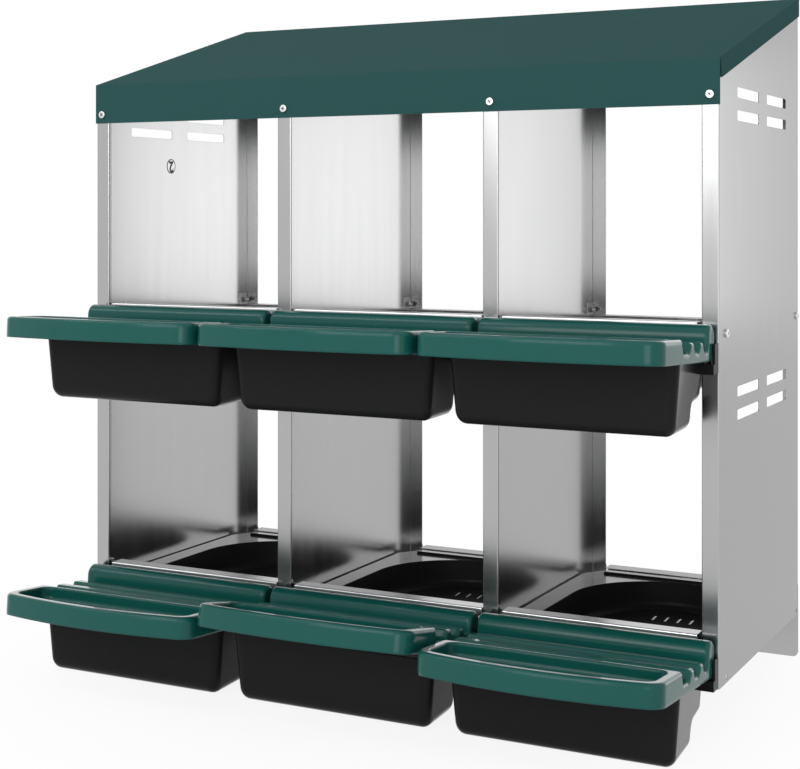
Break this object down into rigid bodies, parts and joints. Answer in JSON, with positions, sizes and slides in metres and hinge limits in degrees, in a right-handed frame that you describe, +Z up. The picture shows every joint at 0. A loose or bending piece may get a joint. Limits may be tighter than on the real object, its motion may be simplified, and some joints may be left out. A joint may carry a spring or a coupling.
{
  "type": "chicken nesting box",
  "caption": "Tiered sheet-steel nesting box with a sloped green roof; each bay has a black roll-away nest and a hinged green lid over its egg tray.",
  "frame": {"origin": "bottom centre of the whole object's box, on the floor", "axes": "+X to the right seen from the egg-tray side, +Y to the open back, +Z up"},
  "size_m": [0.907, 0.6226, 0.9108],
  "materials": {
    "galvanised_steel": "galvanised sheet, satin",
    "green_paint": "dark green coated sheet, satin",
    "black_plastic": "moulded black polyethylene, satin",
    "green_plastic": "moulded green polyethylene, semi-gloss",
    "plated_steel": "zinc-plated screws, bolts and nuts"
  },
  "bodies": {
    "cabinet": {"left_side_panel": "galvanised_steel", "left_divider": "galvanised_steel", "right_divider": "galvanised_steel", "right_side_panel": "galvanised_steel", "roof": "green_paint", "lower_left_front_rail": "galvanised_steel", "lower_middle_front_rail": "galvanised_steel", "lower_right_front_rail": "galvanised_steel", "upper_left_front_rail": "galvanised_steel", "upper_middle_front_rail": "galvanised_steel", "upper_right_front_rail": "galvanised_steel", "left_rear_rail": "galvanised_steel", "middle_rear_rail": "galvanised_steel", "right_rear_rail": "galvanised_steel", "rear_foot_plate": "galvanised_steel", "lower_left_nest": "black_plastic", "lower_middle_nest": "black_plastic", "lower_right_nest": "black_plastic", "upper_left_nest": "black_plastic", "upper_middle_nest": "black_plastic", "upper_right_nest": "black_plastic", "roof_front_screws": "plated_steel", "roof_rear_screws": "plated_steel", "rear_plate_screws": "plated_steel", "rail_bolts": "plated_steel", "rail_nuts": "plated_steel"},
    "lower_left_lid_body": {"lower_left_lid": "green_plastic"},
    "lower_middle_lid_body": {"lower_middle_lid": "green_plastic"},
    "lower_right_lid_body": {"lower_right_lid": "green_plastic"},
    "upper_left_lid_body": {"upper_left_lid": "green_plastic"},
    "upper_middle_lid_body": {"upper_middle_lid": "green_plastic"},
    "upper_right_lid_body": {"upper_right_lid": "green_plastic"}
  },
  "joints": [
    {"name": "lower_left_lid_hinge", "type": "hinge", "parent": "cabinet", "child": "lower_left_lid_body", "pos_m": [-0.3, -0.10165, 0.1057], "axis": [-1, 0, 0], "range_deg": [0, 88]},
    {"name": "lower_middle_lid_hinge", "type": "hinge", "parent": "cabinet", "child": "lower_middle_lid_body", "pos_m": [0, -0.10165, 0.1057], "axis": [-1, 0, 0], "range_deg": [-6.1, 82]},
    {"name": "lower_right_lid_hinge", "type": "hinge", "parent": "cabinet", "child": "lower_right_lid_body", "pos_m": [0.3, -0.10165, 0.1057], "axis": [-1, 0, 0], "range_deg": [0, 88]},
    {"name": "upper_left_lid_hinge", "type": "hinge", "parent": "cabinet", "child": "upper_left_lid_body", "pos_m": [-0.3, -0.10165, 0.4717], "axis": [-1, 0, 0], "range_deg": [0, 90]},
    {"name": "upper_middle_lid_hinge", "type": "hinge", "parent": "cabinet", "child": "upper_middle_lid_body", "pos_m": [0, -0.10165, 0.4717], "axis": [-1, 0, 0], "range_deg": [0, 90]},
    {"name": "upper_right_lid_hinge", "type": "hinge", "parent": "cabinet", "child": "upper_right_lid_body", "pos_m": [0.3, -0.10165, 0.4717], "axis": [-1, 0, 0], "range_deg": [0, 90]}
  ]
}
